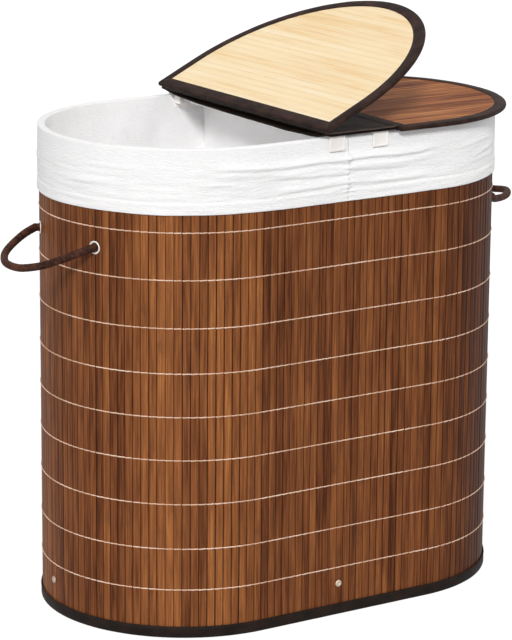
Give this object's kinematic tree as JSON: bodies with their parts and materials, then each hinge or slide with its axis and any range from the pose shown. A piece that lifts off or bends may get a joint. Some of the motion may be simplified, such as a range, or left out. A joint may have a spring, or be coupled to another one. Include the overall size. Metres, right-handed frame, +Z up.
{
  "type": "laundry hamper",
  "caption": "Laundry hamper with a racetrack wall of dark bamboo slats, hanging cotton bags side by side, D-shaped lids on a cloth hinge strip and a rope handle at each end.",
  "frame": {"origin": "on the floor, under the middle of the body and of its two rope handles", "axes": "+Z up; +X along the long side, to the right when seen from the front; the front wall faces -Y"},
  "size_m": [0.7693, 0.3828, 0.7164],
  "materials": {
    "dark_bamboo": "stained bamboo slats, satin",
    "lid_bamboo": "stained bamboo strips, satin",
    "pale_bamboo": "natural bamboo sheet, matt",
    "dark_cloth": "woven binding tape",
    "pale_thread": "twisted thread",
    "cotton_cloth": "plain cotton",
    "pale_plastic": "moulded, satin",
    "galvanised_steel": "zinc plated",
    "white_metal": "white enamel",
    "brown_rope": "cord wrapped, stiff",
    "fibreboard": "plain board"
  },
  "bodies": {
    "hamper": {"base_board": "fibreboard", "base_bracket_back": "galvanised_steel", "base_bracket_front": "galvanised_steel", "base_bracket_left": "galvanised_steel", "base_bracket_right": "galvanised_steel", "base_rivet_back": "white_metal", "base_rivet_front": "white_metal", "base_rivet_left": "white_metal", "base_rivet_right": "white_metal", "bottom_binding": "dark_cloth", "eyelet_left_front": "white_metal", "eyelet_left_rear": "white_metal", "eyelet_right_front": "white_metal", "eyelet_right_rear": "white_metal", "eyelet_washer_left_front": "white_metal", "eyelet_washer_left_rear": "white_metal", "eyelet_washer_right_front": "white_metal", "eyelet_washer_right_rear": "white_metal", "hinge_strip_lower": "dark_cloth", "hinge_strip_upper": "dark_cloth", "left_bag": "cotton_cloth", "left_clip_front": "pale_plastic", "left_clip_rear": "pale_plastic", "left_crossbar": "galvanised_steel", "right_bag": "cotton_cloth", "right_clip_front": "pale_plastic", "right_clip_rear": "pale_plastic", "right_crossbar": "galvanised_steel", "rope_knot_left_front": "brown_rope", "rope_knot_left_rear": "brown_rope", "rope_knot_right_front": "brown_rope", "rope_knot_right_rear": "brown_rope", "thread_row_1": "pale_thread", "thread_row_10": "pale_thread", "thread_row_2": "pale_thread", "thread_row_3": "pale_thread", "thread_row_4": "pale_thread", "thread_row_5": "pale_thread", "thread_row_6": "pale_thread", "thread_row_7": "pale_thread", "thread_row_8": "pale_thread", "thread_row_9": "pale_thread", "top_binding": "dark_cloth", "top_hoop": "galvanised_steel", "wall_backing": "dark_cloth", "wall_seam_tape": "dark_cloth", "wall_slat_mat": "dark_bamboo"},
    "left_lid": {"left_lid_panel": "lid_bamboo", "left_lid_lining": "pale_bamboo", "left_lid_binding": "dark_cloth"},
    "right_lid": {"right_lid_panel": "lid_bamboo", "right_lid_lining": "pale_bamboo", "right_lid_binding": "dark_cloth"},
    "left_handle": {"left_rope_handle": "brown_rope"},
    "right_handle": {"right_rope_handle": "brown_rope"}
  },
  "joints": [
    {"name": "left_lid_hinge", "type": "hinge", "parent": "hamper", "child": "left_lid", "pos_m": [-0.044, 0, 0.6008], "axis": [0, 1, 0], "range_deg": [-154.4, 0]},
    {"name": "right_lid_hinge", "type": "hinge", "parent": "hamper", "child": "right_lid", "pos_m": [0.06, 0, 0.6008], "axis": [0, 1, 0], "range_deg": [-34, 0]},
    {"name": "left_handle_swing", "type": "hinge", "parent": "hamper", "child": "left_handle", "pos_m": [-0.29234, 0, 0.47], "axis": [0, 1, 0], "range_deg": [-65, 85]},
    {"name": "right_handle_swing", "type": "hinge", "parent": "hamper", "child": "right_handle", "pos_m": [0.29234, 0, 0.47], "axis": [0, -1, 0], "range_deg": [-30, 85]}
  ]
}
